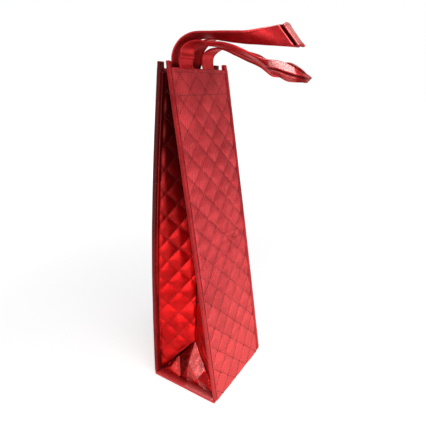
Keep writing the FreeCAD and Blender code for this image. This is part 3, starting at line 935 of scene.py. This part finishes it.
# stations of a handle's left half after its bend, each from the handle's middle and hinge line:
# the strap's outer edge, a crease along it and its inner edge
handleStations = {
    "back": [((-27, -42.2, 6.5), (-7.9, -42.2, 0.4)), ((-25, -55, 5.6), (-6.5, -55, -2)),
             ((-22.5, -65, 5.1), (-4.9, -66, -3.8)), ((-19.5, -72.5, 4.9), (-4, -76.5, -4.9)),
             ((-16, -79.7, 6), (-3.8, -87, -6.4)), ((-13, -86.1, 7), (-4.2, -97, -8)),
             ((-9.6, -93.2, 8), (-5.4, -105, -9)), ((-7.9, -97.6, 8.6), (-6.8, -112, -9.9)),
             ((-7.4, -99, 8.6), (-6.5, -113.4, -9.9)), ((-4.6, -99.9, 9.2), (-3.6, -114.2, -9.5)),
             ((-4.4, -101.2, 9.2), (-3.4, -115.6, -9.6)), ((-6.3, -103.2, 9.3), (-6, -118.2, -10)),
             ((-5.3, -103.9, 9.8), (-5.1, -118.8, -9.7)), ((-3, -104, 10.8), (-3, -118.6, -8.8))],
    "front": [((-27, -28.1, 4.1), (-7.1, -28.1, 1.6)), ((-25.5, -41, 3), (-6.3, -41, -2.6)),
              ((-23, -53.8, -0.3), (-4.6, -53.8, -8)), ((-21, -61, -3.6), (-3, -61.5, -11)),
              ((-19, -68, -7.3), (-2.4, -69, -14.6)),
              ((-16.5, -75.7, -11.4), (-9, -76.8, -16.6), (-2.4, -79, -22.6)),
              ((-14, -83.4, -13.4), (-15, -85.6, -20.4), (-6.2, -84, -25.6)),
              ((-11, -91.3, -14.9), (-16.4, -94.9, -22.5), (-8.8, -92.7, -28.6)),
              ((-8.5, -98.3, -17.3), (-13.6, -101.7, -25.2), (-7.2, -99.8, -32.7)),
              ((-6.5, -105.1, -20.9), (-11, -109.5, -27.9), (-4.2, -107.2, -33.7)),
              ((-4.5, -111, -25.3), (-8, -116, -29.6), (-3.6, -112.6, -33.8)),
              ((-2.6, -112.6, -27.3), (-5, -118, -31), (-2.2, -114.2, -34.2))],
}
# the strap's middle between its wall and the stations: y and z from the hinge line
bendPaths = {
    ("back", "left"): [(7.0, -18.0), (5.9, -11.2), (1.6, -3.6), (-6.6, 2.6), (-18.0, 5.4), (-30.0, 5.3)],
    ("back", "right"): [(7.0, -18.0), (6.0, -11.2), (1.4, -3.6), (-6.5, 2.0), (-18.0, 5.6), (-30.0, 5.6)],
    ("front", "left"): [(5.3, -14.0), (5.0, -9.2), (4.8, -8.1), (3.1, -7.5), (2.8, -6.2), (3.2, -3.0),
                        (0.6, 1.2), (-7.2, 4.6), (-18.0, 4.6)],
    ("front", "right"): [(5.3, -14.0), (5.4, -8.0), (2.9, -2.4), (-5.0, 2.0), (-16.0, 3.6)],
}


def along(run, ahead):
    return smooth(*strapRuns[run], ahead)


def smoothRun(knots, per):
    # a smooth line through knots, each a row of numbers
    table = np.array(knots, float)
    table = np.vstack([2 * table[0] - table[1], table, 2 * table[-1] - table[-2]])
    found = []
    for k in range(1, len(table) - 2):
        a, b, c, d = table[k - 1:k + 3]
        for s in range(per):
            t = s / per
            found.append(0.5 * (2 * b + (c - a) * t + (2 * a - 5 * b + 4 * c - d) * t * t
                                + (3 * b - a - 3 * c + d) * t ** 3))
    found.append(table[-2])
    return found


def strapRing(outer, crease, inner, tangent, tuck=0.0):
    # a flat strap with turned hems, which may be folded along its crease
    look = strapLook
    first, second = outer - crease, crease - inner
    upperNormal = first.cross(tangent).normalized()
    lowerNormal = second.cross(tangent).normalized()
    hem = look["hemWidth"]
    ring = []
    for face, order in ((1, look["spread"]), (-1, look["spread"][::-1])):
        for share in order:
            spot = crease + (first * share if share > 0 else second * share)
            spot.x += tuck * smooth(0.02, -0.1, share) * smooth(-0.42, -0.16, share)
            normal = lowerNormal.lerp(upperNormal, smooth(-0.12, 0.12, share)).normalized()
            inset = look["width"] / 2 * (1 - abs(share))
            t = look["thick"] / 2 + look["hem"] * (1 - smooth(hem - 0.9, hem + 0.3, inset))
            t -= 0.25 * math.exp(-((inset - hem + 0.8) / 0.5) ** 2)
            if inset < 0.7:
                t *= math.sqrt(max(1 - (1 - inset / 0.7) ** 2, 0.05))
            ring.append(spot + normal * face * t)
    return ring


def handleHalf(wall, sideName):
    # half of a handle as edge, crease and edge from inside the hem to its middle
    base = Vector((0, hinge[wall][1], hinge[wall][2]))
    knots = []

    def flatKnot(spot, roll=0.0):
        reach = Vector((math.cos(roll), 0, -math.sin(roll))) * (strapLook["width"] / 2)
        middle = Vector((-legSpread, spot.y, spot.z))
        knots.append([*(middle - reach), *middle, *(middle + reach)])

    for v in (334, 346, wallLength - 2):
        flatKnot(wallPoint(walls[wall], 0, 1.25, v))
    for y, z in bendPaths[wall, sideName]:
        flatKnot(base + Vector((0, y, z)), math.radians(strapLook["bendRoll"] * along("roll", y)))
    for outer, *crease, inner in handleStations[wall]:
        middle = crease[0] if crease else (Vector(outer) + Vector(inner)) / 2
        knots.append([c for spot in (outer, middle, inner) for c in Vector(spot) + base])
    knots.append([c if k % 3 else 0 for k, c in enumerate(knots[-1])])
    return [list(k) for k in smoothRun(knots, 5)]


def paintedFoldShade(wall, ahead, share):
    # painted shade: 1 in the deep folds at a handle's end
    if wall == "back":
        return along("backTip", ahead) * along("backTipEnd", ahead)
    tucked = smooth(0.04, -0.02, share) * smooth(-0.26, -0.14, share) * along("tuckShade", ahead)
    return max(tucked, 0.7 * along("frontTip", ahead))


def handleStrap(name, wall):
    look = strapLook
    base = Vector((0, hinge[wall][1], hinge[wall][2]))
    drift = Vector((handleShift, 0, 0))
    whole = handleHalf(wall, "left")
    for k in reversed(handleHalf(wall, "right")[:-1]):
        ahead = k[4] - base.y
        near = look["backShift"] * along("backShift", ahead) if wall == "back" else 0
        sag = look["frontSag"] * along("sag", ahead) * along("sagEnd", ahead) if wall == "front" else 0
        whole.append([(-c - near, c, c - sag)[n % 3] for n, c in enumerate(k)])
    rings, spine = [], []
    for index, k in enumerate(whole):
        ahead = k[4] - base.y
        before, after = whole[max(index - 1, 0)], whole[min(index + 1, len(whole) - 1)]
        tangent = (Vector(after[3:6]) - Vector(before[3:6])).normalized()
        spots = [Vector(k[n:n + 3]) + drift for n in (0, 3, 6)]
        flutter = look["flutter"] * ripple(index * 0.13, walls[wall] * 2.0, 1.5) * along("flutter", ahead)
        push = (spots[0] - spots[2]).cross(tangent).normalized() * flutter
        spots = [spot + push for spot in spots]
        tuck = look["tuck"] * along("tuck", ahead) if wall == "front" else 0
        rings.append(strapRing(*spots, tangent, -tuck if index > len(whole) / 2 else tuck))
        spine.append((*spots, tangent))
    piece = tube(name, rings, finishes["strap"])
    shares = look["spread"] + look["spread"][::-1]
    paintedLight = []
    for vertex in piece.data.vertices:
        row, place = divmod(vertex.index, len(shares))
        ahead = whole[min(row, len(whole) - 1)][4] - base.y
        # painted glints on faces that look upwards and on the front handle's lower flank, and painted shade
        # in the folds
        paintedLit = smooth(0.05, 0.4, vertex.normal.z) * along("paintedLit", ahead)
        if wall == "front":
            paintedLit = max(paintedLit, 0.35 * smooth(-0.3, -0.5, shares[place]) * along("paintedEdgeLit", ahead))
        shaded = paintedFoldShade(wall, ahead, shares[place])
        paintedLight.append(paintedLit * (1 - shaded) - shaded)
    paintGlintAndShade(piece, paintedLight)
    return piece, spine


handles, spines = {}, {}
for wall in walls:
    handles[wall], spines[wall] = handleStrap(wall + "_handle_strap", wall)
print("handles made")

# stitches
stitchLook = {
    "quilt": {"pitch": 2.9, "radius": 0.30},
    "tape": {"pitch": 2.7, "radius": 0.22},
    "strap": {"pitch": 2.6, "radius": 0.2},
    "length": 1.6, "shortest": 0.8, "longest": 1.15, "sides": 6,
    "hemRows": (5.0, 27.0), "sheetEnd": 44, "rowEnd": 43.5,  # rows below the hem, and where all rows end
    "tapeEdge": 1.5, "tapeInside": 5.6, "baseInside": 5.4,  # from the tape's edge, and from its outside
}


def stitchTree():
    # short threads along a line, each a little longer or shorter
    tree = bpy.data.node_groups.new("stitchRow", "GeometryNodeTree")
    for label, way, kind in (
            ("Geometry", "OUTPUT", "Geometry"), ("Geometry", "INPUT", "Geometry"),
            ("Pitch", "INPUT", "Float"), ("Length", "INPUT", "Float"), ("Radius", "INPUT", "Float"),
            ("Seed", "INPUT", "Int"), ("Thread", "INPUT", "Material")):
        tree.interface.new_socket(label, in_out=way, socket_type="NodeSocket" + kind)
    kinds = (
        "NodeGroupInput", "NodeGroupOutput", "GeometryNodeMeshToCurve", "GeometryNodeResampleCurve",
        "GeometryNodeInputTangent", "FunctionNodeAlignRotationToVector", "GeometryNodeMeshCylinder",
        "FunctionNodeRandomValue", "GeometryNodeInstanceOnPoints", "GeometryNodeRealizeInstances",
        "GeometryNodeSetMaterial")
    made = [tree.nodes.new(kind) for kind in kinds]
    given, result, curve, cut, tangent, turn, dash, vary, put, real, paint = made
    cut.mode = "LENGTH"
    turn.axis = "Z"
    dash.fill_type = "TRIANGLE_FAN"
    dash.inputs["Vertices"].default_value = stitchLook["sides"]
    vary.data_type = "FLOAT"
    vary.inputs[2].default_value = stitchLook["shortest"]
    vary.inputs[3].default_value = stitchLook["longest"]
    for start, output, end, entry in (
            (given, "Geometry", curve, "Mesh"), (curve, "Curve", cut, "Curve"),
            (given, "Pitch", cut, "Length"), (given, "Radius", dash, "Radius"),
            (given, "Length", dash, "Depth"), (tangent, 0, turn, "Vector"), (given, "Seed", vary, "Seed"),
            (cut, "Curve", put, "Points"), (dash, "Mesh", put, "Instance"),
            (turn, "Rotation", put, "Rotation"), (vary, 1, put, "Scale"),
            (put, "Instances", real, "Geometry"), (real, "Geometry", paint, "Geometry"),
            (given, "Thread", paint, "Material"), (paint, "Geometry", result, "Geometry")):
        tree.links.new(start.outputs[output], end.inputs[entry])
    return tree


stitchGroup = stitchTree()


def stitchRows(name, lines, kind, seed):
    look = stitchLook[kind]
    points, edges = [], []
    for line in lines:
        edges += [(len(points) + k, len(points) + k + 1) for k in range(len(line) - 1)]
        points += line
    piece = makePiece(name, points, [], None, edges)
    modifier = piece.modifiers.new("stitches", "NODES")
    modifier.node_group = stitchGroup
    values = {"Pitch": look["pitch"] * 0.001, "Length": stitchLook["length"] * 0.001,
              "Radius": look["radius"] * 0.001, "Seed": seed, "Thread": finishes["thread"]}
    for item in stitchGroup.interface.items_tree:
        if item.in_out == "INPUT" and item.name in values:
            modifier[item.identifier] = values[item.name]
    settle(piece)
    return piece


def latticeLines(iLow, iHigh, jLow, jHigh, spotOf, keep):
    # follow each stitch line over the lattice, broken where keep says no
    lines = []
    cuts = quilt["cuts"]
    for direction in (1, -1):
        for total in range(-60, 60):
            line = []
            for i in range(iLow, iHigh + 1):
                j = total * cuts - direction * i
                if jLow <= j <= jHigh and keep(i, j):
                    line.append(spotOf(i, j))
                else:
                    if len(line) > 2:
                        lines.append(line)
                    line = []
            if len(line) > 2:
                lines.append(line)
    return lines


def stripStitches(name, sign):
    def spotOf(i, j):
        return stripSpot(sign, i, j, 0.1)

    def keep(i, j):
        x, p = latticePlace(i, j)
        return abs(x) < stitchLook["sheetEnd"] and 1.5 < p < wallLength + 40

    lines = latticeLines(columns[0], columns[-1], rows[0], rows[-1], spotOf, keep)
    inside = [i for i in columns if abs(latticePlace(i, 0)[0]) < stitchLook["rowEnd"]]
    for p in stitchLook["hemRows"]:
        j = round((p - quilt["p0"]) / stepP)
        lines.append([stripSpot(sign, i, j, 0.15) for i in inside])
    return stitchRows(name, lines, "quilt", 11 + sign)


def gussetStitches(name, side, half):
    def spotOf(i, j):
        z = min(j * stepP, gussetTop - 0.4)
        u = (i - gusset["shift"]) * stepX
        width = gussetFrame(z)[3]
        inside = smooth(0, 3, u) * smooth(0, 3, width - u)
        return gussetPoint(side, half, u, z, gussetHeight(side, half, i, j, u, z, inside) + 0.1)

    def keep(i, j):
        z = j * stepP
        if z > gussetTop - 1 or z < 6:
            return False
        width = gussetFrame(z)[3]
        return gussetStart(z, width) + 1.5 < (i - gusset["shift"]) * stepX < width - 1

    return stitchRows(name, latticeLines(0, 40, 0, 260, spotOf, keep), "quilt", 30 + 3 * side + half)


def tapeStitches(name, wall, sideName):
    sign, side = walls[wall], sides[sideName]
    outside = side * (halfWidth - tapeLook["reach"][wall][sideName] + stitchLook["tapeEdge"])
    inside = side * (halfWidth - stitchLook["tapeInside"])
    lines = [[tuple(wallPoint(sign, outside, -0.45, v)) for v in range(4, 366, 4)],
             [tuple(wallPoint(sign, inside, tapeDepth + 0.15, v)) for v in range(8, 366, 4)]]
    return stitchRows(name, lines, "tape", 50)


def strapStitches(name, spine):
    # along both hems, on both faces
    level = strapLook["thick"] / 2 + 0.05
    share = 1 - (strapLook["hemWidth"] - 0.8) / (strapLook["width"] / 2)
    lines = []
    for face in (1, -1):
        for upper in (True, False):
            run = []
            for outer, crease, inner, tangent in spine[10:-10]:
                edge = outer - crease if upper else inner - crease
                normal = (outer - crease).cross(tangent) if upper else (crease - inner).cross(tangent)
                run.append(tuple(crease + edge * share + normal.normalized() * level * face))
            lines.append(run)
    return stitchRows(name, lines, "strap", 70)


stitches = {}
for wall, sign in walls.items():
    stitches[wall] = stripStitches(wall + "_panel_stitches", sign)
for name, side in sides.items():
    for wall, sign in walls.items():
        stitches[name, wall] = gussetStitches("%s_gusset_%s_stitches" % (name, wall), side, sign)
for wall in walls:
    for name in sides:
        stitches[wall, name, "tape"] = tapeStitches("%s_%s_tape_stitches" % (wall, name), wall, name)
for name, side in sides.items():
    line = [(side * (halfWidth - stitchLook["baseInside"]), y, tapeDepth + 0.3) for y in range(-40, 41, 4)]
    stitches["base", name, "tape"] = stitchRows("base_%s_tape_stitches" % name, [line], "tape", 60)
for wall in walls:
    stitches[wall, "strap"] = strapStitches(wall + "_strap_stitches", spines[wall])
print("stitches made")

# the walls are not quite flat
bow = {"middle": 2.75, "spread": 3.25}


def bowPiece(piece):
    # the back wall bows outwards between the bottom and the hem, the front one hardly
    hemZ = wallLength * leanCos
    for vertex in piece.data.vertices:
        y, z = vertex.co.y * 1000, vertex.co.z * 1000
        if 0 < z < hemZ:
            reach = max(min(y / (halfOpening(z) + 2), 1), -1)
            vertex.co.y += (bow["middle"] + bow["spread"] * reach) * math.sin(math.pi * z / hemZ) * 0.001


for piece in (*panels.values(), *linings.values(), *tapes.values(), *gussetPieces.values(),
              *(rows for key, rows in stitches.items() if "strap" not in key)):
    bowPiece(piece)
print("walls bowed")

# what some pieces move with: the wall tapes and their stitches ride their walls, and the gusset creases,
# feet, base tapes and their stitches ride the base; the other pieces are baked where they stand, and the
# model's own parts are hidden
for wall, sign in walls.items():
    ends = {"start": (0, sign * (halfDepth - 4) * 0.001, 0.0), "end": (0, sign * halfDepth * 0.001, 0.009)}
    for piece in (panels[wall], linings[wall], stitches[wall]):
        wall + "_wall"
        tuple(ends["start"])
        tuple(ends["end"])
        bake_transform(piece)
    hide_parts(wall + "_skin", wall + "_wadding", wall + "_hem_facing",
                "base_skin", "base_wadding")
    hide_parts(wall + "_lining", "base_lining")
    for name in sides:
        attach(tapes[wall, name], wall + "_wall")
        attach(stitches[wall, name, "tape"], wall + "_wall")
        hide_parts("%s_%s_binding" % (wall, name))
    spot = hinge[wall]
    start = (0, (spot[1] + 7) * 0.001, (spot[2] - 14) * 0.001)
    end = (0, (spot[1] - 13) * 0.001, (spot[2] + 9) * 0.001)
    for piece in (handles[wall], stitches[wall, "strap"]):
        wall + "_wall"
        wall + "_handle"
        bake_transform(piece)
        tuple(start)
        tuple(end)
    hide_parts(wall + "_handle_left_leg", wall + "_handle_right_leg", wall + "_handle_loop")
for name, side in sides.items():
    for wall in walls:
        start, end = (side * 0.014, 0, 0.1), (side * 0.041, 0, 0.1)
        for piece in (gussetPieces[name, wall], gussetPieces[name, wall, "inner"], stitches[name, wall]):
            wall + "_wall"
            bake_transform(piece)
            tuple(start)
            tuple(end)
        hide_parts(name + "_gusset_skin", name + "_gusset_wadding")
        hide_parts(name + "_gusset_lining")
    for piece in (gussetPieces[name, "spine"], gussetPieces[name, "foot"], tapes["base", name],
                  stitches["base", name, "tape"]):
        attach(piece, "base")
    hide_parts("base_%s_binding" % name)
board = frame["nodes"]["base_board"]
board.data.materials.clear()
board.data.materials.append(finishes["card"])

# floor, light and camera
studio = {
    "floor": 8000.0,  # from its middle to its edge
    "nearLift": 0.55, "farLift": 0.97,  # how white it looks near the bag and further off
    "fade": (0.2, 1.1),  # metres from the bag where that changes
    "world": 0.16, "white": (1, 1, 1, 1),
    "lamps": {
        "overheadLamp": {"place": (-0.30, -0.50, 1.15), "aim": (0.0, -0.05, 0.1),
                         "size": (0.8, 0.8), "power": 8.0},
        "lowFrontLamp": {"place": (0.12, -0.44, 0.09), "aim": (0, -0.03, 0.06),
                         "size": (0.3, 0.2), "power": 0.8},
        "lowLeftLamp": {"place": (-0.42, -0.24, 0.08), "aim": (-0.03, 0.0, 0.05),
                        "size": (0.3, 0.2), "power": 0.7},
    },
}


def makeFloor():
    finish = Finish(bpy.data.materials.new("paleFloor"))
    away = finish.add("ShaderNodeVectorMath", {"operation": "LENGTH"}, {0: finish.place()}, 1)
    lift = finish.step(away, *studio["fade"]) * (studio["farLift"] - studio["nearLift"])
    shown = finish.seenRays() * (studio["nearLift"] + lift)
    shader = finish.add("ShaderNodeBsdfPrincipled", None, {
        "Base Color": finish.blendColour(finish.noise(30), (0.86, 0.86, 0.86, 1), (0.9, 0.9, 0.9, 1)),
        "Roughness": 0.9, "Specular IOR Level": 0.1, "Emission Strength": 1.0,
        "Emission Color": finish.blendColour(shown, (0, 0, 0, 1), studio["white"])})
    finish.add("ShaderNodeOutputMaterial", None, {"Surface": shader})
    size = studio["floor"]
    corners = [(x * size, y * size, -0.2) for x, y in ((-1, -1), (1, -1), (1, 1), (-1, 1))]
    makePiece("studioFloor", corners, [(0, 1, 2, 3)], finish.owner)


def makeWorld():
    # soft light on the bag, and plain white where the world itself is seen
    world = Finish(bpy.data.worlds.new("studio"))
    scene.world = world.owner
    soft = world.add("ShaderNodeBackground", None, {"Color": studio["white"], "Strength": studio["world"]})
    plain = world.add("ShaderNodeBackground", None, {"Color": studio["white"], "Strength": 1.0})
    mixed = world.add("ShaderNodeMixShader", None, {0: world.seenRays(), 1: soft, 2: plain})
    world.add("ShaderNodeOutputWorld", None, {"Surface": mixed})


def makeLamp(name, place, aim, size, power):
    data = bpy.data.lights.new(name, "AREA")
    data.shape = "RECTANGLE"
    data.size, data.size_y = size
    data.energy = power
    lamp = bpy.data.objects.new(name, data)
    lamp.location = place
    lamp.visible_camera = False
    lamp.rotation_euler = (Vector(aim) - Vector(place)).to_track_quat("-Z", "Y").to_euler()
    scene.collection.objects.link(lamp)


makeFloor()
makeWorld()
for name, lamp in studio["lamps"].items():
    makeLamp(name, **lamp)

shot = {"place": (-0.31636, -0.24822, 0.33891), "turn": (77.02, 1.04, -59.23), "lens": 30.62,
        "shift": (-0.0738, -0.0950)}
camera = bpy.data.objects.new("camera", bpy.data.cameras.new("camera"))
camera.location = shot["place"]
camera.rotation_euler = [math.radians(a) for a in shot["turn"]]
camera.data.sensor_width = 36
camera.data.lens = shot["lens"]
camera.data.shift_x, camera.data.shift_y = shot["shift"]
camera.data.clip_start = 0.01
scene.collection.objects.link(camera)
scene.camera = camera
scene.view_settings.view_transform = "Standard"

print("scene ready")
